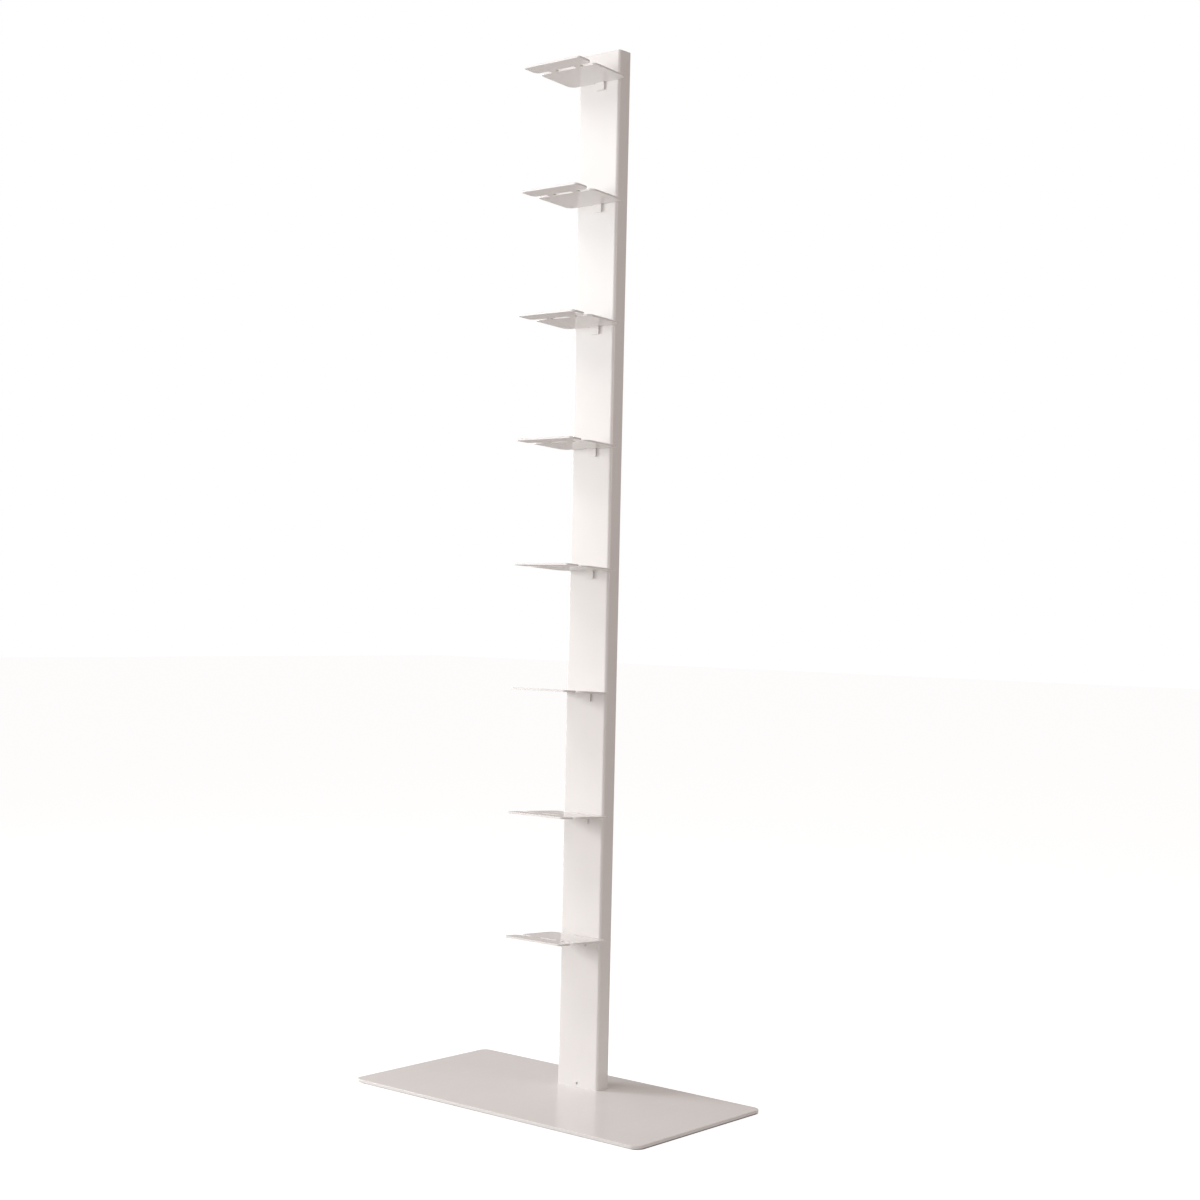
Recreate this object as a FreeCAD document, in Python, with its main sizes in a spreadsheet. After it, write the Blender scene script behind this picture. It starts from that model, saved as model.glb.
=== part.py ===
import FreeCAD, Part
import os
import Sketcher
from FreeCAD import Rotation, Vector

# Freestanding tower bookcase: a slim steel column on a wide thin base plate, with short sheet
# shelves that reach forward from the column's front face.
# Frame: X along the base's long side, Y from front to back, Z up.
# Origin: on the floor, under the middle of the base.

SIZES = {
    # shelves up the column, measured from the floor to each underside at the column
    "shelf_count": 8,
    "shelf_pitch": 200,
    "lowest_shelf_height": 251,
    "column_top_rise": 49,
    # base plate
    "base_length": 600,
    "base_depth": 315,
    "base_thickness": 5,
    "base_corner_radius": 15,
    "base_edge_round": 0.8,
    # floor pads
    "pad_thickness": 1.5,
    "pad_diameter": 20,
    "pad_inset": 30,
    # column, a channel that is open at the back
    "column_width": 86,
    "column_depth": 27,
    "column_wall": 2,
    "column_bend_inside": 2.5,
    "column_edge_round": 0.4,
    "column_setback": 100,
    # shelf sheet
    "shelf_width": 118,
    "shelf_depth": 120,
    "shelf_sheet": 3,
    "shelf_tilt": 3,
    "shelf_front_radius": 5,
    "shelf_rear_radius": 12,
    "shelf_edge_round": 0.4,
    "shelf_rear_gap": 0.3,
    # slotted bend line across the shelf
    "strip_depth": 32,
    "slot_width": 8,
    "slot_length": 38,
    "slot_corner_radius": 1.5,
    "bridge_width": 13,
    "strip_corner_radius": 10,
    "plate_corner_radius": 8,
    # rear tab, tongue and the cuts between them
    "tab_width": 17.6,
    "tab_drop": 13,
    "tab_bend_inside": 2,
    "tab_corner_radius": 2,
    "relief_width": 1.6,
    "relief_margin": 1.5,
    "tongue_width": 6,
    "tongue_reach": 5,
    "tongue_clearance": 0.2,
    # shelf fixing
    "stud_diameter": 5,
    "stud_length": 12,
    "stud_point": 0.6,
    "stud_clearance": 0.25,
    "washer_diameter": 10,
    "washer_thickness": 1,
    "washer_clearance": 0.15,
    "nut_across_flats": 8,
    "nut_height": 4.7,
    # foot block inside the column
    "block_height": 12,
    "block_clearance": 0.2,
    "block_rear_gap": 0.8,
    "block_screw_inset": 7,
    # screws up through the base plate
    "base_screw_diameter": 6,
    "base_screw_length": 16,
    "base_screw_head": 12,
    "base_screw_key": 4,
    "base_screw_key_depth": 2.4,
    "base_screw_clearance": 0.3,
    "rear_screw_offset": 12,
    # screw that locks the column on the foot block
    "set_screw_diameter": 4,
    "set_screw_length": 8,
    "set_screw_recess": 1,
    "set_screw_point": 0.6,
    "set_screw_key": 2,
    "set_screw_key_depth": 2.5,
    "set_screw_clearance": 0.2,
    "set_screw_runout": 0.5,
    # play of any thread, and how far any cut runs past what it cuts
    "thread_clearance": 0.05,
    "cut_overrun": 1,
}

# Places and sizes that follow from the sheet, as expressions
BASE_TOP = "(sizes.pad_thickness + sizes.base_thickness)"
FACE = "(sizes.base_depth / 2 - sizes.column_setback)"
TOP_SHELF = "(sizes.lowest_shelf_height + (sizes.shelf_count - 1) * sizes.shelf_pitch)"
COLUMN_HEIGHT = f"({TOP_SHELF} + sizes.column_top_rise - {BASE_TOP})"
BEHIND_WALL = f"({FACE} + sizes.column_wall)"
SLOT_FRONT = "(sizes.strip_depth - sizes.shelf_depth)"
SLOT_REAR = f"({SLOT_FRONT} + sizes.slot_width)"
NOTCH_START = "(sizes.slot_length / 2 + sizes.bridge_width)"
TAB_RIGHT = "((sizes.tongue_width + sizes.relief_width + sizes.tab_width) / 2)"
TAB_LEFT = f"({TAB_RIGHT} - sizes.tab_width)"
TAB_MIDDLE = f"({TAB_RIGHT} - sizes.tab_width / 2)"
TONGUE_RIGHT = f"({TAB_LEFT} - sizes.relief_width)"
TONGUE_LEFT = f"({TONGUE_RIGHT} - sizes.tongue_width)"
BEND_OUTSIDE = "(sizes.tab_bend_inside + sizes.shelf_sheet)"
RELIEF_END = f"(-{BEND_OUTSIDE} - sizes.relief_margin)"
LOWEST_STUD = "(sizes.lowest_shelf_height - (sizes.tab_drop + sizes.tab_bend_inside) / 2)"
SET_SCREW_HEIGHT = f"({BASE_TOP} + sizes.block_height / 2)"
BLOCK_FRONT = f"({BEHIND_WALL} + sizes.block_clearance)"
BLOCK_WIDTH = "(sizes.column_width - 2 * sizes.column_wall - 2 * sizes.block_clearance)"
BLOCK_DEPTH = "(sizes.column_depth - sizes.column_wall - sizes.block_clearance - sizes.block_rear_gap)"
FRONT_SCREW_X = f"({BLOCK_WIDTH} / 2 - sizes.block_screw_inset)"
FRONT_SCREW_Y = "sizes.block_screw_inset"
REAR_SCREW_Y = f"({BLOCK_DEPTH} - sizes.block_screw_inset)"
PAD_X = "(sizes.base_length / 2 - sizes.pad_inset)"
PAD_Y = "(sizes.base_depth / 2 - sizes.pad_inset)"

# Base screws, seen from the middle of the foot block's front edge
BASE_SCREWS = [
    (f"-{FRONT_SCREW_X}", FRONT_SCREW_Y),
    (FRONT_SCREW_X, FRONT_SCREW_Y),
    ("-sizes.rear_screw_offset", REAR_SCREW_Y),
    ("sizes.rear_screw_offset", REAR_SCREW_Y),
]

# How nearly two directions or heights agree before they count as the same
SAME = 1e-6

doc = FreeCAD.newDocument("bookcase")
sheet = doc.addObject("Spreadsheet::Sheet", "sizes")
for row, (alias, number) in enumerate(SIZES.items(), start=1):
    sheet.set(f"A{row}", alias)
    sheet.set(f"B{row}", str(number))
    sheet.setAlias(f"B{row}", alias)
doc.recompute()


def value(expression):
    """The number that an expression on the sheet's sizes gives."""
    return float(sheet.evalExpression(expression))


def new_body(label, x="0", y="0", z="0"):
    """An empty sub-part whose origin stands at a place given by three expressions."""
    body = doc.addObject("PartDesign::Body", label)
    body.Label = label
    for axis, place in zip("xyz", (x, y, z)):
        body.setExpression(f"Placement.Base.{axis}", place)
    return body


def origin_feature(body, role):
    """One of a body's own origin planes or axes."""
    return next(part for part in body.Origin.OriginFeatures if part.Role == role)


def new_sketch(body, plane, name, lift="0"):
    """A sketch on one of the body's origin planes, lifted off it along its normal."""
    sketch = body.newObject("Sketcher::SketchObject", name)
    sketch.AttachmentSupport = [(origin_feature(body, plane), "")]
    sketch.MapMode = "FlatFace"
    sketch.setExpression("AttachmentOffset.Base.z", lift)
    return sketch


def bind(sketch, kind, where, expression):
    """A driving dimension in a sketch, bound to an expression."""
    number = sketch.addConstraint(Sketcher.Constraint(kind, *where, value(expression)))
    sketch.setExpression(f"Constraints[{number}]", expression)


def place_point(sketch, line, end, x, y):
    """Fix one point of a sketch by its two distances from the sketch's origin."""
    bind(sketch, "DistanceX", (-1, 1, line, end), x)
    bind(sketch, "DistanceY", (-1, 1, line, end), y)


def add_outline(sketch, corners):
    """A closed outline of straight lines through corners, each a pair of expressions."""
    points = [Vector(value(x), value(y), 0) for x, y in corners]
    first = sketch.GeometryCount
    for start, end in zip(points, points[1:] + points[:1]):
        sketch.addGeometry(Part.LineSegment(start, end))
    for index, (x, y) in enumerate(corners):
        before = first + (index - 1) % len(corners)
        sketch.addConstraint(Sketcher.Constraint("Coincident", before, 2, first + index, 1))
        place_point(sketch, first + index, 1, x, y)


def add_rectangle(sketch, left, right, low, high):
    """A rectangle given by the expressions of its four sides."""
    add_outline(sketch, [(left, low), (right, low), (right, high), (left, high)])


def add_circle(sketch, diameter, x="0", y="0"):
    """A circle given by the expressions of its diameter and centre."""
    radius = f"{diameter} / 2"
    centre = Vector(value(x), value(y), 0)
    circle = sketch.addGeometry(Part.Circle(centre, Vector(0, 0, 1), value(radius)))
    place_point(sketch, circle, 3, x, y)
    bind(sketch, "Radius", (circle,), radius)


def add_hexagon(sketch, across_flats):
    """A hexagon round the sketch's origin, with two sides square to its X axis."""
    flat = f"{across_flats} / 2"
    corner = f"{flat} / cos(30)"
    half_side = f"{corner} / 2"
    add_outline(sketch, [
        (flat, f"-{half_side}"), (flat, half_side), ("0", corner),
        (f"-{flat}", half_side), (f"-{flat}", f"-{half_side}"), ("0", f"-{corner}"),
    ])


def pad(body, sketch, length, reverse=False):
    """Raise a sketch into a solid."""
    feature = body.newObject("PartDesign::Pad", "Pad")
    feature.Profile = sketch
    feature.setExpression("Length", length)
    feature.Reversed = reverse
    doc.recompute()
    return feature


def pocket(body, sketch, depth, reverse=False):
    """Cut a sketch into the body to a depth, and make sure that it does cut."""
    before = body.Tip.Shape.Volume
    feature = body.newObject("PartDesign::Pocket", "Pocket")
    feature.Profile = sketch
    feature.setExpression("Length", depth)
    feature.Reversed = reverse
    doc.recompute()
    if feature.Shape.Volume >= before:
        raise RuntimeError(f"{body.Label}: {sketch.Label} cuts nothing")
    return feature


def middle_of(edge):
    """The point half way along an edge."""
    return edge.valueAt((edge.FirstParameter + edge.LastParameter) / 2)


def runs_along(edge, direction):
    """Whether an edge is a straight line in a direction."""
    if edge.Curve.TypeId != "Part::GeomLine":
        return False
    along = edge.tangentAt(edge.FirstParameter).dot(direction)
    return abs(abs(along) - 1) < SAME


def lies_level(edge, *heights):
    """Whether the whole edge lies at one of some heights in the body's own frame."""
    points = [middle_of(edge)] + [vertex.Point for vertex in edge.Vertexes]
    return any(all(abs(point.z - height) < SAME for point in points) for height in heights)


def dress_edges(body, kind, setting, amount, test):
    """Fillet or chamfer the edges of a body that pass a test."""
    base = body.Tip
    numbered = enumerate(base.Shape.Edges, start=1)
    names = [f"Edge{number}" for number, edge in numbered if test(edge)]
    if not names:
        raise RuntimeError(f"{body.Label}: no edge for this {kind}")
    feature = body.newObject(f"PartDesign::{kind}", kind)
    feature.Base = (base, names)
    feature.setExpression(setting, amount)
    doc.recompute()
    return feature


def fillet(body, radius, test):
    """Round the edges of a body that pass a test."""
    return dress_edges(body, "Fillet", "Radius", radius, test)


def chamfer(body, width, test):
    """Bevel the edges of a body that pass a test."""
    return dress_edges(body, "Chamfer", "Size", width, test)


def repeat_up(body, feature=None):
    """Repeat a feature, or the whole body, once for each shelf, one shelf pitch apart."""
    pattern = body.newObject("PartDesign::LinearPattern", "LinearPattern")
    if feature:
        pattern.Originals = [feature]
    else:
        pattern.TransformMode = "Whole shape"
    pattern.Direction = (origin_feature(body, "Z_Axis"), [""])
    pattern.Mode = "Spacing"
    pattern.setExpression("Offset", "sizes.shelf_pitch")
    pattern.setExpression("Occurrences", "sizes.shelf_count")
    body.Tip = pattern
    doc.recompute()


UPRIGHT = Vector(0, 0, 1)


def make_floor_pads():
    """Thin round pads under the base plate, along both long sides."""
    body = new_body("floor_pads")
    sketch = new_sketch(body, "XY_Plane", "PadCircles")
    for y in (f"-{PAD_Y}", PAD_Y):
        for x in (f"-{PAD_X}", "0", PAD_X):
            add_circle(sketch, "sizes.pad_diameter", x, y)
    pad(body, sketch, "sizes.pad_thickness")
    return body


def make_base_plate():
    """The base: flat plate with round corners, and countersunk holes from below."""
    body = new_body("base_plate", z="sizes.pad_thickness")
    outline = new_sketch(body, "XY_Plane", "Outline")
    half_length = "sizes.base_length / 2"
    half_depth = "sizes.base_depth / 2"
    add_rectangle(outline, f"-{half_length}", half_length, f"-{half_depth}", half_depth)
    pad(body, outline, "sizes.base_thickness")
    fillet(body, "sizes.base_corner_radius", lambda edge: runs_along(edge, UPRIGHT))
    top = value("sizes.base_thickness")
    fillet(body, "sizes.base_edge_round", lambda edge: lies_level(edge, 0, top))
    holes = new_sketch(body, "XY_Plane", "ScrewHoles")
    hole = "(sizes.base_screw_diameter + 2 * sizes.base_screw_clearance)"
    for x, y in BASE_SCREWS:
        add_circle(holes, hole, x, f"{BLOCK_FRONT} + {y}")
    pocket(body, holes, "sizes.base_thickness + sizes.cut_overrun", reverse=True)
    chamfer(
        body,
        "(sizes.base_screw_head - sizes.base_screw_diameter) / 2",
        lambda edge: lies_level(edge, 0) and edge.Curve.TypeId == "Part::GeomCircle"
        and edge.isClosed(),
    )
    return body


def make_foot_block():
    """Solid steel block that fills the column's foot and takes the base screws."""
    body = new_body("foot_block", y=BLOCK_FRONT, z=BASE_TOP)
    outline = new_sketch(body, "XY_Plane", "Outline")
    add_rectangle(outline, f"-{BLOCK_WIDTH} / 2", f"{BLOCK_WIDTH} / 2", "0", BLOCK_DEPTH)
    pad(body, outline, "sizes.block_height")
    fillet(
        body,
        "sizes.column_bend_inside",
        lambda edge: runs_along(edge, UPRIGHT) and abs(middle_of(edge).y) < SAME,
    )
    taps = new_sketch(body, "XY_Plane", "TappedHoles")
    for x, y in BASE_SCREWS:
        add_circle(taps, "(sizes.base_screw_diameter + 2 * sizes.thread_clearance)", x, y)
    pocket(body, taps, "sizes.block_height + sizes.cut_overrun", reverse=True)
    front_tap = new_sketch(body, "XZ_Plane", "FrontTap")
    bore = "(sizes.set_screw_diameter + 2 * sizes.thread_clearance)"
    add_circle(front_tap, bore, "0", "sizes.block_height / 2")
    reach = "sizes.set_screw_recess + sizes.set_screw_length + sizes.set_screw_runout"
    pocket(body, front_tap, f"{reach} - sizes.column_wall - sizes.block_clearance")
    return body


def make_base_screws():
    """Countersunk screws with hexagon sockets, up through the base into the foot block."""
    screws = []
    for number, (x, y) in enumerate(BASE_SCREWS, start=1):
        head = doc.addObject("Part::Cone", f"ScrewHead{number}")
        head.setExpression("Radius1", "sizes.base_screw_head / 2")
        head.setExpression("Radius2", "sizes.base_screw_diameter / 2")
        head.setExpression("Height", "(sizes.base_screw_head - sizes.base_screw_diameter) / 2")
        shank = doc.addObject("Part::Cylinder", f"ScrewShank{number}")
        shank.setExpression("Radius", "sizes.base_screw_diameter / 2")
        shank.setExpression("Height", "sizes.base_screw_length")
        whole = doc.addObject("Part::Fuse", f"ScrewBlank{number}")
        whole.Base = head
        whole.Tool = shank
        key = doc.addObject("Part::Prism", f"ScrewKey{number}")
        key.Polygon = 6
        key.setExpression("Circumradius", "sizes.base_screw_key / 2 / cos(30)")
        key.setExpression("Height", "sizes.base_screw_key_depth")
        screw = doc.addObject("Part::Cut", f"BaseScrew{number}")
        screw.Base = whole
        screw.Tool = key
        screw.setExpression("Placement.Base.x", x)
        screw.setExpression("Placement.Base.y", f"{BLOCK_FRONT} + {y}")
        screw.setExpression("Placement.Base.z", "sizes.pad_thickness")
        screws.append(screw)
    group = doc.addObject("Part::Compound", "base_screws")
    group.Label = "base_screws"
    group.Links = screws
    return group


def make_column():
    """The upright: a folded channel with a stud hole and a tongue slot for each shelf."""
    body = new_body("column", y=FACE, z=BASE_TOP)
    section = new_sketch(body, "XY_Plane", "Section")
    outside = "sizes.column_width / 2"
    inside = f"({outside} - sizes.column_wall)"
    back = "sizes.column_depth"
    add_outline(section, [
        (f"-{outside}", "0"), (outside, "0"), (outside, back), (inside, back),
        (inside, "sizes.column_wall"), (f"-{inside}", "sizes.column_wall"),
        (f"-{inside}", back), (f"-{outside}", back),
    ])
    pad(body, section, COLUMN_HEIGHT)
    wall = value("sizes.column_wall")
    fillet(
        body,
        "sizes.column_bend_inside + sizes.column_wall",
        lambda edge: runs_along(edge, UPRIGHT) and abs(middle_of(edge).y) < SAME,
    )
    fillet(
        body,
        "sizes.column_bend_inside",
        lambda edge: runs_along(edge, UPRIGHT) and abs(middle_of(edge).y - wall) < SAME,
    )
    top = value(COLUMN_HEIGHT)
    fillet(body, "sizes.column_edge_round", lambda edge: lies_level(edge, top))

    lock_hole = new_sketch(body, "XZ_Plane", "LockHole")
    hole = "(sizes.set_screw_diameter + 2 * sizes.set_screw_clearance)"
    add_circle(lock_hole, hole, "0", "sizes.block_height / 2")
    through = "sizes.column_wall + sizes.cut_overrun"
    pocket(body, lock_hole, through)

    openings = new_sketch(body, "XZ_Plane", "ShelfOpenings")
    stud_hole = "(sizes.stud_diameter + 2 * sizes.stud_clearance)"
    add_circle(openings, stud_hole, TAB_MIDDLE, f"{LOWEST_STUD} - {BASE_TOP}")
    shelf_line = f"(sizes.lowest_shelf_height - {BASE_TOP})"
    tongue_sinks = "sizes.column_wall * tan(sizes.shelf_tilt)"
    tongue_height = "sizes.shelf_sheet / cos(sizes.shelf_tilt)"
    add_rectangle(
        openings,
        f"{TONGUE_LEFT} - sizes.tongue_clearance",
        f"{TONGUE_RIGHT} + sizes.tongue_clearance",
        f"{shelf_line} - {tongue_sinks} - sizes.tongue_clearance",
        f"{shelf_line} + {tongue_height} + sizes.tongue_clearance",
    )
    repeat_up(body, pocket(body, openings, through))
    return body


def make_set_screw():
    """Headless screw that locks the column on the foot block, just below the surface."""
    body = new_body("foot_set_screw", y=f"{FACE} + sizes.set_screw_recess", z=SET_SCREW_HEIGHT)
    shank = new_sketch(body, "XZ_Plane", "Shank")
    add_circle(shank, "sizes.set_screw_diameter")
    pad(body, shank, "sizes.set_screw_length", reverse=True)
    tip = value("sizes.set_screw_length")
    chamfer(body, "sizes.set_screw_point", lambda edge: middle_of(edge).y > tip - SAME)
    key = new_sketch(body, "XZ_Plane", "Key")
    add_hexagon(key, "sizes.set_screw_key")
    pocket(body, key, "sizes.set_screw_key_depth")
    return body


def cut_slots(body):
    """The bend line: one slot in the middle and an open notch at each side."""
    slots = new_sketch(body, "XY_Plane", "BendLine")
    half_slot = "sizes.slot_length / 2"
    past_side = "(sizes.shelf_width / 2 + sizes.cut_overrun)"
    add_rectangle(slots, f"-{half_slot}", half_slot, SLOT_FRONT, SLOT_REAR)
    add_rectangle(slots, f"-{past_side}", f"-{NOTCH_START}", SLOT_FRONT, SLOT_REAR)
    add_rectangle(slots, NOTCH_START, past_side, SLOT_FRONT, SLOT_REAR)
    pocket(body, slots, "sizes.shelf_sheet + sizes.cut_overrun", reverse=True)


def round_corners(body, radius, depths, at_side=True):
    """Round a shelf's upright corners at some depths, those at its two sides or the others."""
    side = value("sizes.shelf_width / 2")

    def chosen(edge):
        place = middle_of(edge)
        at_depth = any(abs(place.y - value(depth)) < SAME for depth in depths)
        return runs_along(edge, UPRIGHT) and at_depth and (abs(place.x) > side - SAME) == at_side

    fillet(body, radius, chosen)


def make_shelf(number):
    """One shelf: a flat sheet that rises to the front, with a tab bent down at its rear."""
    height = f"sizes.lowest_shelf_height + {number - 1} * sizes.shelf_pitch"
    body = new_body(f"shelf_{number}", y=FACE, z=height)
    body.Placement = FreeCAD.Placement(body.Placement.Base, Rotation(Vector(-1, 0, 0), 1))
    body.setExpression("Placement.Rotation.Angle", "sizes.shelf_tilt")

    # sheet with its outer corners and the slotted line
    blank = new_sketch(body, "XY_Plane", "Blank")
    half_width = "sizes.shelf_width / 2"
    rear = "-sizes.shelf_rear_gap"
    add_rectangle(blank, f"-{half_width}", half_width, "-sizes.shelf_depth", rear)
    pad(body, blank, "sizes.shelf_sheet")
    round_corners(body, "sizes.shelf_front_radius", ["-sizes.shelf_depth"])
    round_corners(body, "sizes.shelf_rear_radius", [rear])
    cut_slots(body)
    round_corners(body, "sizes.strip_corner_radius", [SLOT_FRONT])
    round_corners(body, "sizes.plate_corner_radius", [SLOT_REAR])
    round_corners(body, "sizes.slot_corner_radius", [SLOT_FRONT, SLOT_REAR], at_side=False)
    top = value("sizes.shelf_sheet")
    fillet(body, "sizes.shelf_edge_round", lambda edge: lies_level(edge, 0, top))

    # room for the tab and its reliefs, then the tongue beside it
    relief = new_sketch(body, "XY_Plane", "Relief")
    relief_right = f"{TAB_RIGHT} + sizes.relief_width"
    add_rectangle(relief, TONGUE_LEFT, relief_right, RELIEF_END, "sizes.cut_overrun")
    pocket(body, relief, "sizes.shelf_sheet + sizes.cut_overrun", reverse=True)
    tongue = new_sketch(body, "XY_Plane", "Tongue")
    add_rectangle(tongue, TONGUE_LEFT, TONGUE_RIGHT, RELIEF_END, "sizes.tongue_reach")
    pad(body, tongue, "sizes.shelf_sheet")

    # tab, drawn as a section and bent with its inner and outer radius
    section = new_sketch(body, "YZ_Plane", "TabSection", lift=TAB_LEFT)
    sheet_y = "sizes.shelf_sheet * cos(sizes.shelf_tilt)"
    sheet_z = "sizes.shelf_sheet * sin(sizes.shelf_tilt)"
    drop_y = "sizes.tab_drop * sin(sizes.shelf_tilt)"
    drop_z = "sizes.tab_drop * cos(sizes.shelf_tilt)"
    inner_bend = "-sizes.shelf_sheet / cos(sizes.shelf_tilt)"
    outer_bend = "-sizes.shelf_sheet * tan(sizes.shelf_tilt)"
    add_outline(section, [
        (RELIEF_END, "0"), (inner_bend, "0"),
        (f"{drop_y} - {sheet_y}", f"-{drop_z} - {sheet_z}"), (drop_y, f"-{drop_z}"),
        (outer_bend, "sizes.shelf_sheet"), (RELIEF_END, "sizes.shelf_sheet"),
    ])
    pad(body, section, "sizes.tab_width")
    across = Vector(1, 0, 0)
    bends = {"sizes.tab_bend_inside": (inner_bend, 0), BEND_OUTSIDE: (outer_bend, top)}
    for radius, (y, z) in bends.items():
        corner_y = value(y)
        fillet(
            body,
            radius,
            lambda edge: runs_along(edge, across) and abs(middle_of(edge).y - corner_y) < SAME
            and abs(middle_of(edge).z - z) < SAME,
        )
    lowest = value(f"-{drop_z}")
    through_tab = Vector(0, value(sheet_y), value(sheet_z)).normalize()
    fillet(
        body,
        "sizes.tab_corner_radius",
        lambda edge: runs_along(edge, through_tab) and middle_of(edge).z < lowest / 2,
    )
    return body


def make_studs():
    """Studs welded to the back of the tabs, one for each shelf."""
    body = new_body("shelf_studs", TAB_MIDDLE, FACE, LOWEST_STUD)
    sketch = new_sketch(body, "XZ_Plane", "Stud")
    add_circle(sketch, "sizes.stud_diameter")
    pad(body, sketch, "sizes.stud_length", reverse=True)
    tip = value("sizes.stud_length")
    chamfer(body, "sizes.stud_point", lambda edge: middle_of(edge).y > tip - SAME)
    repeat_up(body)
    return body


def make_washers():
    """Washers behind the column's front wall."""
    body = new_body("shelf_washers", TAB_MIDDLE, BEHIND_WALL, LOWEST_STUD)
    sketch = new_sketch(body, "XZ_Plane", "Washer")
    add_circle(sketch, "sizes.washer_diameter")
    add_circle(sketch, "(sizes.stud_diameter + 2 * sizes.washer_clearance)")
    pad(body, sketch, "sizes.washer_thickness", reverse=True)
    repeat_up(body)
    return body


def make_nuts():
    """Hexagon nuts on the studs, with the corners of their outer ends turned down."""
    body = new_body("shelf_nuts", TAB_MIDDLE, f"{BEHIND_WALL} + sizes.washer_thickness", LOWEST_STUD)
    sketch = new_sketch(body, "XZ_Plane", "Nut")
    add_hexagon(sketch, "sizes.nut_across_flats")
    add_circle(sketch, "(sizes.stud_diameter + 2 * sizes.thread_clearance)")
    pad(body, sketch, "sizes.nut_height", reverse=True)
    flat = "sizes.nut_across_flats / 2"
    past_corner = f"({flat} / cos(30) + sizes.cut_overrun)"
    cone_start = f"sizes.nut_height - ({past_corner} - {flat}) * tan(30)"
    turning = new_sketch(body, "YZ_Plane", "Turning")
    add_outline(turning, [
        ("sizes.nut_height", flat), ("sizes.nut_height", past_corner), (cone_start, past_corner),
    ])
    groove = body.newObject("PartDesign::Groove", "Groove")
    groove.Profile = turning
    groove.ReferenceAxis = (origin_feature(body, "Y_Axis"), [""])
    doc.recompute()
    repeat_up(body)
    return body


def check_document():
    """Stop if any object of the document failed to compute."""
    for thing in doc.Objects:
        if {"Invalid", "Error"} & set(thing.State):
            raise RuntimeError(f"{thing.Label} failed: {thing.State}")


def export_part(part):
    """Write one sub-part to its own file, after a look at its shape."""
    shape = part.Shape
    if shape.isNull() or not shape.isValid():
        raise RuntimeError(f"{part.Label} has no valid shape")
    shape.exportStep(os.path.join("parts", f"{part.Label}.step"))
    print(f"{part.Label}: {len(shape.Solids)} solids, {shape.Volume:.0f} mm3")


parts = [
    make_floor_pads(),
    make_base_plate(),
    make_foot_block(),
    make_base_screws(),
    make_column(),
    make_set_screw(),
]
parts += [make_shelf(number) for number in range(1, int(value("sizes.shelf_count")) + 1)]
parts += [make_studs(), make_washers(), make_nuts()]
doc.recompute()
check_document()
os.makedirs("parts", exist_ok=True)
for part in parts:
    export_part(part)
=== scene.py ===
"""Looks of the tower bookcase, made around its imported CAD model: finishes, fasteners, studio and camera."""

import math

import bmesh
import bpy
from mathutils import Matrix, Vector


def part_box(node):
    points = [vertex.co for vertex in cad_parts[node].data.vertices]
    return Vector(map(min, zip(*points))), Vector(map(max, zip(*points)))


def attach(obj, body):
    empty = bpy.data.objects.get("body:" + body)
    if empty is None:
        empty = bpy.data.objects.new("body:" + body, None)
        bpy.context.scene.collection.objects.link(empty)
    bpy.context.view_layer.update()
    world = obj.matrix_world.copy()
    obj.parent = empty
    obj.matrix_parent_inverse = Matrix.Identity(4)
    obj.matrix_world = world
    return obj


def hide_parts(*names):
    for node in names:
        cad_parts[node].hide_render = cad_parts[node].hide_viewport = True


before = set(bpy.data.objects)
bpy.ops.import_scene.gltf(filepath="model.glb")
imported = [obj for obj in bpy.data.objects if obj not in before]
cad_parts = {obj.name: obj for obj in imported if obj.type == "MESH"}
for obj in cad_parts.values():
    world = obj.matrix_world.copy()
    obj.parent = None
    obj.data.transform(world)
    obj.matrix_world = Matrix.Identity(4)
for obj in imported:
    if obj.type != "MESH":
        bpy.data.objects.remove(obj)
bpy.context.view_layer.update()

MM = 0.001
MICRON = 1e-6
SHELVES = 8
LACQUERED = ["base_plate", "column"] + [f"shelf_{number}" for number in range(1, SHELVES + 1)]

# Turned and threaded pieces
SIDES = 36
SIXTH = math.tau / 6
SHARP = math.radians(32)
THREAD_DEPTH_SHARE = 0.58
MERGE_DISTANCE = MICRON
CUT_DISTANCE = 0.1 * MICRON
ALONG_Y = Matrix.Rotation(math.radians(-90), 4, "X")

# Lamps: their power in watts, their colours, and what they point at
WINDOW_WATTS = 64
FRONT_WATTS = 1.8
MIDDLE_WATTS = 9
LOW_WATTS = 11
TOP_WATTS = 17
SIDE_WATTS = 13
FRONT_COLOUR = (0.68, 0.90, 1.0)
FILL_COLOUR = (1.0, 0.96, 0.95)
SIDE_COLOUR = (1.0, 0.9, 0.86)
MID_HEIGHT = (0, 0, 0.9)
UPPER_SHELVES = (0, 0, 1.2)

# World, floor and card: sizes in metres, and the brightness that the object or the camera sees
AMBIENT = 0.31
AMBIENT_COLOUR = (1.0, 0.88, 0.83, 1)
PURE_WHITE = (1, 1, 1, 1)
BLACK = (0, 0, 0, 1)
WHITE = 1.0
FLOOR_SIZE = 40.0
FLOOR_GLOW = 0.88
FLOOR_SHADE = (0.35, 0.35, 0.35, 1)
FLOOR_LOW = (0.56, 0.545, 0.53, 1)
FLOOR_HIGH = (0.58, 0.565, 0.55, 1)
# Painted shade under the base plate: the floor's glow stops there with a soft edge, and reaches in at the left and
# front as painted light
PLATE_CORNER = 15 * MM
PAINTED_SHADE_FADE = 2 * MM
PAINTED_LIGHT_INSET = 1.5 * MM
CARD_WIDTH, CARD_HEIGHT = 9.0, 3.0
CARD_PLACE = Vector((-2.2, 2.6, 1.5))
CARD_FADE_TOP = 2.2
CARD_LEVEL = 1.0
CARD_LOW = (0.50, 0.445, 0.425, 1)
CARD_HIGH = (0.62, 0.56, 0.53, 1)

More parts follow.
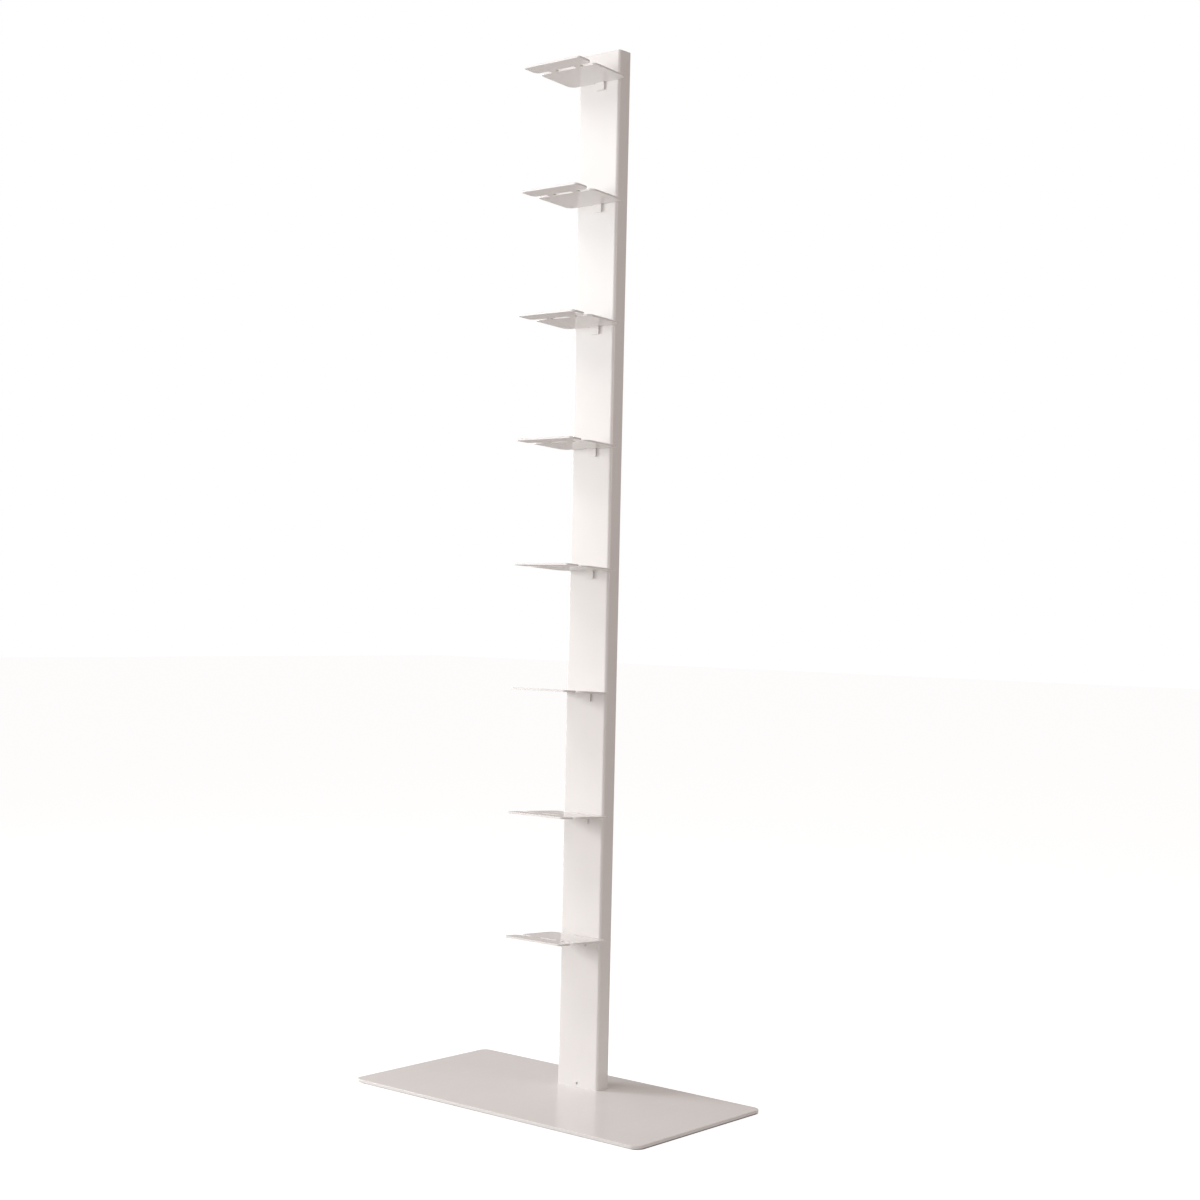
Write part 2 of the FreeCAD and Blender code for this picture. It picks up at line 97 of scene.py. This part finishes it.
# Camera, found by fitting the object's edges to the photograph
CAMERA_PLACE = Vector((2.1116, -2.4301, 0.7897))
CAMERA_TURN = math.radians(50.03)
CAMERA_RISE = math.radians(0.248)
CAMERA_TILT = math.radians(1.275)
FOCAL_PIXELS = 1992.2
PHOTO_PIXELS = 1200
SENSOR = 36.0
VIEW_END = 60.0


class Wire:
    """One output of a node. Arithmetic on it adds Math nodes to the same finish."""

    def __init__(self, finish, node, output=0):
        self.finish = finish
        self.made_by = node
        self.socket = node.outputs[output] if node.outputs else None

    def out(self, output):
        """Another output of the same node."""
        return Wire(self.finish, self.made_by, output)

    def math(self, operation, *others):
        """A Math node with this value as its first input."""
        return self.finish.node("Math", {"operation": operation}, dict(enumerate((self, *others))))

    def __add__(self, other):
        return self.math("ADD", other)

    __radd__ = __add__

    def __mul__(self, other):
        return self.math("MULTIPLY", other)

    def __sub__(self, other):
        return self.math("SUBTRACT", other)

    def __rsub__(self, other):
        return self.finish.node("Math", {"operation": "SUBTRACT"}, {0: other, 1: self})

    def __pow__(self, other):
        return self.math("POWER", other)

    def clipped(self):
        """The value kept between 0 and 1."""
        return self.finish.node("Clamp", {}, {"Value": self})

    def ramp(self, start, end):
        """0 below start, 1 above end, and a smooth rise between."""
        return self.finish.node(
            "MapRange",
            {"interpolation_type": "SMOOTHSTEP"},
            {"Value": self, "From Min": start, "From Max": end},
        )


class Finish:
    """A node tree under construction: a material's, or the world's."""

    def __init__(self, owner):
        owner.use_nodes = True
        self.owner = owner
        self.tree = owner.node_tree
        self.tree.nodes.clear()

    def node(self, kind, settings, inputs, output=0):
        """Add one node: its settings first, then the values or links of its inputs."""
        made = self.tree.nodes.new("ShaderNode" + kind)
        for name, setting in settings.items():
            setattr(made, name, setting)
        for name, given in inputs.items():
            if isinstance(given, Wire):
                self.tree.links.new(given.socket, made.inputs[name])
            else:
                made.inputs[name].default_value = given
        return Wire(self, made, output)

    def mix(self, share, first, second):
        """A colour between two colours."""
        return self.node("Mix", {"data_type": "RGBA"}, {0: share, 6: first, 7: second}, output=2)

    def place(self):
        """The point on the piece, in metres in the CAD frame."""
        return self.node("TexCoord", {}, {}, output="Object")

    def stretched(self, place, scale, turn=(0, 0, 0)):
        """The place turned and stretched, for lines instead of spots."""
        return self.node("Mapping", {}, {"Vector": place, "Scale": scale, "Rotation": turn})

    def noise(self, place, per_metre, detail=2.0, roughness=0.5):
        """Soft random values around 0.5, with so many waves per metre."""
        return self.node(
            "TexNoise",
            {},
            {"Vector": place, "Scale": per_metre, "Detail": detail, "Roughness": roughness},
        )

    def facing_up(self):
        """1 on faces that look up, 0 on all others."""
        normal = self.node("NewGeometry", {}, {}, output="Normal")
        return self.node("SeparateXYZ", {}, {0: normal}, output="Z").ramp(0.85, 0.98)

    def relief(self, height):
        """A normal for a height given in metres."""
        return self.node("Bump", {}, {"Strength": 1.0, "Distance": 1.0, "Height": height})

    def show(self, surface):
        """End the tree in a surface, and give back what carries it."""
        self.node("OutputMaterial", {}, {"Surface": surface})
        return self.owner

    def close(self, **inputs):
        """End the tree in one surface shader. Spaces in socket names are written as underscores."""
        named = {name.replace("_", " "): given for name, given in inputs.items()}
        return self.show(self.node("BsdfPrincipled", {}, named))


def new_finish(name):
    return Finish(bpy.data.materials.new(name))


def gloss_lacquer():
    """White gloss powder coat on sheet steel: orange peel, long waves in the sheet, dust and fine scratches."""
    white, paler, dusty = (0.800, 0.782, 0.768, 1), (0.818, 0.801, 0.788, 1), (0.72, 0.70, 0.675, 1)
    scratch_turns, scratch_stretch = (0.4, 1.3, 2.5), (900.0, 9.0, 40.0)
    peel_height, grain_height = 9 * MICRON, 0.6 * MICRON
    wave_height, scratch_depth = 160 * MICRON, 0.3 * MICRON
    f = new_finish("white_gloss_lacquer")
    place = f.place()
    clouds = f.noise(place, per_metre=6.0, detail=4.0)
    peel = f.noise(place, per_metre=650.0, detail=1.0)
    grain = f.noise(place, per_metre=2600.0, detail=1.0)
    waves = f.noise(place, per_metre=9.0, detail=1.0)
    dust = f.facing_up() * f.noise(place, per_metre=38.0, detail=6.0, roughness=0.62).ramp(0.45, 0.75)
    scratches = [
        f.noise(f.stretched(place, scratch_stretch, (0, 0, turn)), per_metre=1.0, detail=0.0).ramp(0.70, 0.74)
        for turn in scratch_turns
    ]
    scratched = (scratches[0] + scratches[1] + scratches[2]).clipped()
    height = peel * peel_height + grain * grain_height + waves * wave_height - scratched * scratch_depth
    return f.close(
        Base_Color=f.mix(dust * 0.12, f.mix(clouds.ramp(0.3, 0.7), white, paler), dusty),
        Roughness=0.15 + clouds * 0.05 + dust * 0.05 + scratched * 0.05,
        Normal=f.relief(height),
        IOR=1.5,
    )


def zinc_plate():
    """Bright zinc on fasteners: turned marks and a faint blue and yellow tint in patches."""
    bluish, yellowish = (0.60, 0.63, 0.68, 1), (0.70, 0.69, 0.64, 1)
    turn_stretch, turn_height, patch_height = (600.0, 9000.0, 600.0), 3 * MICRON, 4 * MICRON
    f = new_finish("bright_zinc")
    place = f.place()
    patches = f.noise(place, per_metre=260.0, detail=3.0)
    turned = f.noise(f.stretched(place, turn_stretch), per_metre=1.0, detail=1.0)
    return f.close(
        Base_Color=f.mix(patches.ramp(0.35, 0.65), bluish, yellowish),
        Metallic=1.0,
        Roughness=0.24 + patches * 0.16 + turned * 0.06,
        Normal=f.relief(turned * turn_height + patches * patch_height),
    )


def milled_steel():
    """Sawn and milled bar, with the cutter's lines and a thin brown bloom."""
    steel, brown = (0.42, 0.42, 0.43, 1), (0.30, 0.22, 0.17, 1)
    line_stretch, line_height = (60.0, 2600.0, 2600.0), 8 * MICRON
    f = new_finish("milled_steel")
    place = f.place()
    lines = f.noise(f.stretched(place, line_stretch), per_metre=1.0, detail=2.0)
    bloom = f.noise(place, per_metre=120.0, detail=5.0, roughness=0.6).ramp(0.52, 0.72)
    return f.close(
        Base_Color=f.mix(bloom * 0.55, steel, brown),
        Metallic=1.0 - bloom * 0.6,
        Roughness=0.34 + lines * 0.14 + bloom * 0.25,
        Normal=f.relief(lines * line_height),
    )


def zinc_flake():
    """Matt silver-grey flake coating of the set screw."""
    dull, bright, bare = (0.62, 0.62, 0.62, 1), (0.74, 0.735, 0.73, 1), (0.38, 0.37, 0.36, 1)
    flake_height = 2 * MICRON
    f = new_finish("zinc_flake")
    place = f.place()
    flakes = f.noise(place, per_metre=5200.0, detail=2.0)
    worn = f.noise(place, per_metre=900.0, detail=3.0).ramp(0.55, 0.75)
    return f.close(
        Base_Color=f.mix(worn * 0.3, f.mix(flakes.ramp(0.3, 0.7), dull, bright), bare),
        Metallic=0.35,
        Roughness=0.48 + flakes * 0.14,
        Normal=f.relief(flakes * flake_height),
    )


def grey_rubber():
    """Matt rubber of the floor pads, with a fine moulded grain."""
    dark, greyed = (0.10, 0.10, 0.10, 1), (0.20, 0.195, 0.19, 1)
    grain_height = 14 * MICRON
    f = new_finish("grey_rubber")
    place = f.place()
    grain = f.noise(place, per_metre=2200.0, detail=2.0)
    dusty = f.noise(place, per_metre=90.0, detail=4.0).ramp(0.45, 0.7)
    return f.close(
        Base_Color=f.mix(dusty * 0.4, dark, greyed),
        Roughness=0.72 + grain * 0.15,
        Normal=f.relief(grain * grain_height),
    )


def dress(names, finish):
    """Give CAD nodes a finish in all their material slots."""
    for name in names:
        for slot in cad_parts[name].material_slots:
            slot.material = finish


def points_of(parts):
    return [part for part in parts if isinstance(part, bmesh.types.BMVert)]


def everything(bm):
    return bm.verts[:] + bm.edges[:] + bm.faces[:]


def set_ring(points, height, radius, hexagon=False):
    """Put points on a circle, or on a hexagon with that radius to its flats. The height may depend on the reach."""
    for point in points:
        angle = math.atan2(point.co.y, point.co.x)
        past_flat = (angle + SIXTH / 2) % SIXTH - SIXTH / 2
        reach = radius / math.cos(past_flat) if hexagon else radius
        level = height(reach) if callable(height) else height
        point.co = (reach * math.cos(angle), reach * math.sin(angle), level)


def draw_out(bm, rim, rings):
    """Extrude a rim of edges through rings, one after another, and return the last rim."""
    for ring in rings:
        made = bmesh.ops.extrude_edge_only(bm, edges=rim)["geom"]
        points = points_of(made)
        set_ring(points, *ring)
        rim = [part for part in made if isinstance(part, bmesh.types.BMEdge) and set(part.verts) <= set(points)]
    return rim


def first_ring(bm, height, radius):
    """The edges of a circle to draw a turned piece from."""
    points = bmesh.ops.create_circle(bm, segments=SIDES, radius=radius)["verts"]
    set_ring(points, height, radius)
    return list({edge for point in points for edge in point.link_edges})


def close_hole(bm, rim):
    """A flat face across a rim."""
    bmesh.ops.contextual_create(bm, geom=rim)


def cut_thread(bm, radius, pitch, bottom, top):
    """A thread along Z: a zigzag line swept once round while it climbs one pitch. Returns its two rims."""
    depth = THREAD_DEPTH_SHARE * pitch
    # one turn to spare at each end, for the two cuts
    turns = math.ceil((top - bottom) / pitch) + 2
    points = [
        bm.verts.new((radius - depth * (k % 2), 0, bottom + (k / 2 - 1) * pitch))
        for k in range(2 * turns + 1)
    ]
    lines = [bm.edges.new(pair) for pair in zip(points, points[1:])]
    bmesh.ops.spin(
        bm, geom=points + lines, cent=(0, 0, 0), axis=(0, 0, 1), dvec=(0, 0, pitch / SIDES),
        angle=math.tau, steps=SIDES, use_merge=False,
    )
    bmesh.ops.remove_doubles(bm, verts=bm.verts, dist=MERGE_DISTANCE)
    rims = []
    for height, outwards in ((bottom, -1), (top, 1)):
        bmesh.ops.bisect_plane(
            bm, geom=everything(bm), dist=CUT_DISTANCE,
            plane_co=(0, 0, height), plane_no=(0, 0, outwards), clear_outer=True,
        )
        rims.append([
            edge for edge in bm.edges
            if edge.is_boundary and all(abs(point.co.z - height) < MERGE_DISTANCE for point in edge.verts)
        ])
    return rims


def place_copies(bm, turn, places):
    """Turn what was made, and put one copy of it at each place."""
    bmesh.ops.transform(bm, matrix=turn, verts=bm.verts)
    original = everything(bm)
    for place in places[1:]:
        copy = bmesh.ops.duplicate(bm, geom=original)["geom"]
        bmesh.ops.translate(bm, verts=points_of(copy), vec=place)
    bmesh.ops.translate(bm, verts=points_of(original), vec=places[0])


def add_piece(bm, name, finish, node):
    """Make a mesh object that stands for a CAD node: faces outwards, rounds smooth, corners sharp."""
    bmesh.ops.recalc_face_normals(bm, faces=bm.faces)
    for face in bm.faces:
        face.smooth = True
    for edge in bm.edges:
        edge.smooth = edge.calc_face_angle(0.0) < SHARP
    mesh = bpy.data.meshes.new(name)
    bm.to_mesh(mesh)
    bm.free()
    mesh.materials.append(finish)
    piece = bpy.data.objects.new(name, mesh)
    bpy.context.scene.collection.objects.link(piece)
    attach(piece, "root")
    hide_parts(node)


def in_a_column(node, radius):
    """Where the copies of a node's fastener start, one per shelf: on its axis, at its front end."""
    low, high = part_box(node)
    step = (high.z - low.z - 2 * radius) / (SHELVES - 1)
    return [Vector(((low.x + high.x) / 2, low.y, low.z + radius + k * step)) for k in range(SHELVES)]


def make_studs(zinc):
    """Weld studs with an M5 thread and a chamfered end."""
    length, radius, pitch, chamfer = 12 * MM, 2.5 * MM, 0.8 * MM, 0.6 * MM
    bm = bmesh.new()
    root, tip = cut_thread(bm, radius, pitch, 0.0, length - chamfer)
    close_hole(bm, root)
    close_hole(bm, draw_out(bm, tip, [(length, radius - chamfer)]))
    place_copies(bm, ALONG_Y, in_a_column("shelf_studs", radius))
    add_piece(bm, "threaded_studs", zinc, "shelf_studs")


def make_nuts(zinc):
    """M5 nuts, chamfered at both ends, with a countersunk bore."""
    height, flat, rim = 4.7 * MM, 4 * MM, 3.8 * MM
    bore, mouth, sink = 2.55 * MM, 2.9 * MM, 0.35 * MM
    slope = math.tan(math.radians(30))
    bm = bmesh.new()
    inner = first_ring(bm, sink, bore)
    last = draw_out(bm, inner, [
        (0.0, mouth),
        (0.0, rim),
        (lambda reach: (reach - rim) * slope, flat, True),
        (lambda reach: height - (reach - rim) * slope, flat, True),
        (height, rim),
        (height, mouth),
        (height - sink, bore),
    ])
    bmesh.ops.bridge_loops(bm, edges=inner + last)
    place_copies(bm, ALONG_Y, in_a_column("shelf_nuts", flat / math.cos(SIXTH / 2)))
    add_piece(bm, "hexagon_nuts", zinc, "shelf_nuts")


def make_washers(zinc):
    """Stamped washers, rounded where the punch came in."""
    thick, hole, edge = 1 * MM, 2.65 * MM, 5 * MM
    bevel, burr = 0.1 * MM, 0.05 * MM
    # the punch's round, as a way down from the top and a way in from the edge
    punch_round = ((0.25 * MM, 0.0), (0.07 * MM, 0.08 * MM), (0.0, 0.3 * MM))
    bm = bmesh.new()
    inner = first_ring(bm, bevel, hole)
    last = draw_out(bm, inner, [
        (0.0, hole + bevel),
        (0.0, edge - burr),
        (burr, edge),
        *((thick - down, edge - inwards) for down, inwards in punch_round),
        (thick, hole + bevel),
        (thick - bevel, hole),
    ])
    bmesh.ops.bridge_loops(bm, edges=inner + last)
    place_copies(bm, ALONG_Y, in_a_column("shelf_washers", edge))
    add_piece(bm, "stamped_washers", zinc, "shelf_washers")


def make_base_screws(zinc):
    """Countersunk M6 screws with hexagon sockets."""
    length, head, shank, pitch = 16 * MM, 6 * MM, 3 * MM, 1 * MM
    cone_end, thread_start = 3.0 * MM, 3.6 * MM
    chamfer_length, chamfer_depth = 0.8 * MM, 0.9 * MM
    socket, socket_depth, socket_mouth, socket_sink = 2.0 * MM, 2.4 * MM, 2.35 * MM, 0.3 * MM
    # the head's rounded rim, as a way up from its face and a way in from the head's edge
    rim_round = ((0.2 * MM, 0.2 * MM), (0.05 * MM, 0.1 * MM), (0.0, 0.3 * MM))
    rear_spread = 12 * MM
    bm = bmesh.new()
    neck, tip = cut_thread(bm, shank, pitch, thread_start, length - chamfer_length)
    close_hole(bm, draw_out(bm, tip, [(length, shank - chamfer_depth)]))
    close_hole(bm, draw_out(bm, neck, [
        (cone_end, shank),
        *((up, head - inwards) for up, inwards in rim_round),
        (0.0, socket_mouth),
        (socket_sink, socket, True),
        (socket_depth, socket, True),
    ]))
    low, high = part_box("base_screws")
    front, rear = low.y + head, high.y - head
    places = [Vector((x, front, low.z)) for x in (low.x + head, high.x - head)]
    places += [Vector((x, rear, low.z)) for x in (-rear_spread, rear_spread)]
    place_copies(bm, Matrix.Identity(4), places)
    add_piece(bm, "countersunk_screws", zinc, "base_screws")


def make_set_screw(coated):
    """Headless M4 screw with a hexagon socket and a cup point."""
    length, radius, pitch = 8 * MM, 2 * MM, 0.7 * MM
    face, face_length = 1.65 * MM, 0.35 * MM
    socket, socket_depth, socket_mouth, socket_sink = 1.0 * MM, 2.5 * MM, 1.2 * MM, 0.12 * MM
    point_rim, point_length = 1.3 * MM, 0.6 * MM
    cup, cup_floor, cup_depth = 1.0 * MM, 0.4 * MM, 0.5 * MM
    bm = bmesh.new()
    mouth, point = cut_thread(bm, radius, pitch, face_length, length - point_length)
    close_hole(bm, draw_out(bm, mouth, [
        (0.0, face),
        (0.0, socket_mouth),
        (socket_sink, socket, True),
        (socket_depth, socket, True),
    ]))
    close_hole(bm, draw_out(bm, point, [
        (length, point_rim),
        (length, cup),
        (length - cup_depth, cup_floor),
    ]))
    low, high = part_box("foot_set_screw")
    place_copies(bm, ALONG_Y, [Vector(((low.x + high.x) / 2, low.y, (low.z + high.z) / 2))])
    add_piece(bm, "socket_set_screw", coated, "foot_set_screw")


def make_pads(rubber):
    """Moulded floor pads: a rounded rim, and two grooves in the sole."""
    radius, thick = 10 * MM, 1.5 * MM
    middle, groove_starts, groove = 2.6 * MM, (2.8 * MM, 5.6 * MM), 0.35 * MM
    land = 5.4 * MM
    bottom_width, top_width = 0.6 * MM, 0.8 * MM
    # the sole's rounded rim, as a way up from the floor and a way in from the pad's edge
    rim_round = ((0.0, 0.5 * MM), (0.15 * MM, 0.15 * MM), (0.5 * MM, 0.0))

    def groove_rings(start):
        return [(groove, start), (groove, start + bottom_width), (0.0, start + top_width)]

    bm = bmesh.new()
    sole = first_ring(bm, 0.0, middle)
    close_hole(bm, sole)
    close_hole(bm, draw_out(bm, sole, [
        *groove_rings(groove_starts[0]),
        (0.0, land),
        *groove_rings(groove_starts[1]),
        *((up, radius - inwards) for up, inwards in rim_round),
        (thick, radius),
    ]))
    low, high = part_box("floor_pads")
    across = (low.x + radius, 0.0, high.x - radius)
    along = (low.y + radius, high.y - radius)
    place_copies(bm, Matrix.Identity(4), [Vector((x, y, 0.0)) for x in across for y in along])
    add_piece(bm, "moulded_pads", rubber, "floor_pads")


zinc = zinc_plate()
dress(LACQUERED, gloss_lacquer())
dress(["foot_block"], milled_steel())
make_studs(zinc)
make_nuts(zinc)
make_washers(zinc)
make_base_screws(zinc)
make_set_screw(zinc_flake())
make_pads(grey_rubber())


def seen_background(f):
    """1 for rays that show the background: from the camera, in gloss and through glass."""
    path = f.node("LightPath", {}, {})
    camera, glossy, clear = (path.out(name) for name in ("Is Camera Ray", "Is Glossy Ray", "Is Transmission Ray"))
    return (camera + glossy + clear).clipped()


def add_panel(name, width, height, turn, place, finish):
    """A flat rectangle of the studio: part of the stage, not of the object."""
    mesh = bpy.data.meshes.new(name)
    bm = bmesh.new()
    bmesh.ops.create_grid(bm, x_segments=1, y_segments=1, size=0.5)
    bmesh.ops.scale(bm, vec=(width, height, 1), verts=bm.verts)
    bmesh.ops.transform(bm, matrix=Matrix.Translation(place) @ turn, verts=bm.verts)
    bm.to_mesh(mesh)
    bm.free()
    mesh.materials.append(finish)
    panel = bpy.data.objects.new(name, mesh)
    bpy.context.scene.collection.objects.link(panel)
    return panel


def painted_shade_under_plate(f):
    """Mask of painted shade on the floor: 0 under the base plate, where the glow stops, 1 past it. At the left and
    front the glow reaches two insets under the plate as painted light.
    """
    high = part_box("base_plate")[1] - Vector((PLATE_CORNER + PAINTED_LIGHT_INSET, PLATE_CORNER + PAINTED_LIGHT_INSET, 0))
    place = f.node("SeparateXYZ", {}, {0: f.place()})
    past = [
        ((place.out(axis) - PAINTED_LIGHT_INSET).math("ABSOLUTE") - reach).math("MAXIMUM", 0.0)
        for axis, reach in (("X", high.x), ("Y", high.y))
    ]
    distance = (past[0] ** 2 + past[1] ** 2) ** 0.5
    return distance.ramp(PLATE_CORNER - PAINTED_SHADE_FADE, PLATE_CORNER)


def make_floor():
    """A pale floor that lights the object, white to the camera, with the object's shadow on it, and painted shade
    under the base plate where its glow stops.
    """
    f = new_finish("studio_floor")
    clouds = f.noise(f.place(), per_metre=3.0, detail=3.0)
    lit = f.node("BsdfDiffuse", {}, {"Color": f.mix(clouds, FLOOR_LOW, FLOOR_HIGH)})
    shown = f.node("BsdfDiffuse", {}, {"Color": FLOOR_SHADE})
    # glow colour: white past the plate, black under it as painted shade
    white = f.mix(painted_shade_under_plate(f), BLACK, PURE_WHITE)
    glow = f.node("Emission", {}, {"Color": white, "Strength": FLOOR_GLOW})
    pale = f.node("AddShader", {}, {0: shown, 1: glow})
    finish = f.show(f.node("MixShader", {}, {0: seen_background(f), 1: lit, 2: pale}))
    add_panel("floor", FLOOR_SIZE, FLOOR_SIZE, Matrix.Identity(4), Vector((0, 0, 0)), finish)


def make_grey_card():
    """A grey card behind the object, out of the camera's sight, for the gloss to mirror."""
    f = new_finish("grey_card")
    height = f.node("SeparateXYZ", {}, {0: f.place()}, output="Z").ramp(0.0, CARD_FADE_TOP)
    grey = f.mix(height, CARD_LOW, CARD_HIGH)
    finish = f.show(f.node("Emission", {}, {"Color": grey, "Strength": CARD_LEVEL}))
    upright = Matrix.Rotation(math.radians(90), 4, "X")
    card = add_panel("grey_card", CARD_WIDTH, CARD_HEIGHT, upright, CARD_PLACE, finish)
    card.visible_camera = False
    card.visible_diffuse = False
    card.visible_transmission = False
    card.visible_shadow = False


def make_world():
    """White behind the object, and a soft warm light from all round."""
    world = bpy.data.worlds.new("studio")
    bpy.context.scene.world = world
    f = Finish(world)
    ambient = f.node("Background", {}, {"Color": AMBIENT_COLOUR, "Strength": AMBIENT})
    white = f.node("Background", {}, {"Color": PURE_WHITE, "Strength": WHITE})
    surface = f.node("MixShader", {}, {0: seen_background(f), 1: ambient, 2: white})
    f.node("OutputWorld", {}, {"Surface": surface})


def add_softbox(name, place, aim, size, watts, colour=(1, 1, 1), mirrored=True):
    """A rectangular area lamp at a place, turned to a point. The gloss shows it only if it is mirrored."""
    lamp = bpy.data.lights.new(name, "AREA")
    lamp.shape = "RECTANGLE"
    lamp.size, lamp.size_y = size
    lamp.energy = watts
    lamp.color = colour
    holder = bpy.data.objects.new(name, lamp)
    bpy.context.scene.collection.objects.link(holder)
    holder.location = place
    holder.visible_glossy = mirrored
    holder.rotation_euler = (Vector(aim) - Vector(place)).to_track_quat("-Z", "Y").to_euler()


def add_lamps():
    """A window on the left, weak lights in front and at the right, and fills that the gloss doesn't mirror."""
    add_softbox("window", (-2.5, -1.4, 1.15), (0, 0.05, 0.9), (1.1, 0.9), WINDOW_WATTS)
    add_softbox("front_fill", (-0.9, -1.3, 1.7), (0, 0, 1.0), (0.6, 0.6), FRONT_WATTS, FRONT_COLOUR)
    add_softbox("middle_fill", (0.3, -3.1, 1.5), UPPER_SHELVES, (1.0, 1.0), MIDDLE_WATTS, FILL_COLOUR, mirrored=False)
    add_softbox("low_fill", (-0.3, -3.2, 0.7), MID_HEIGHT, (1.4, 1.4), LOW_WATTS, FILL_COLOUR, mirrored=False)
    add_softbox("top_fill", (-0.6, -1.6, 2.6), MID_HEIGHT, (1.0, 1.0), TOP_WATTS, FILL_COLOUR, mirrored=False)
    add_softbox("side_fill", (2.6, 0.4, 1.5), UPPER_SHELVES, (1.2, 1.2), SIDE_WATTS, SIDE_COLOUR)


def make_camera():
    """The camera at the photograph's viewpoint."""
    ahead = Vector((
        -math.cos(CAMERA_TURN) * math.cos(CAMERA_RISE),
        math.sin(CAMERA_TURN) * math.cos(CAMERA_RISE),
        math.sin(CAMERA_RISE),
    ))
    level = ahead.cross(Vector((0, 0, 1))).normalized()
    upright = level.cross(ahead)
    right = math.cos(CAMERA_TILT) * level + math.sin(CAMERA_TILT) * upright
    up = -math.sin(CAMERA_TILT) * level + math.cos(CAMERA_TILT) * upright
    data = bpy.data.cameras.new("camera")
    data.sensor_width = SENSOR
    data.lens = FOCAL_PIXELS * SENSOR / PHOTO_PIXELS
    data.clip_end = VIEW_END
    camera = bpy.data.objects.new("camera", data)
    bpy.context.scene.collection.objects.link(camera)
    camera.matrix_world = Matrix.Translation(CAMERA_PLACE) @ Matrix((right, up, -ahead)).transposed().to_4x4()
    bpy.context.scene.camera = camera


make_floor()
make_grey_card()
make_world()
add_lamps()
make_camera()
bpy.context.scene.view_settings.view_transform = "Standard"
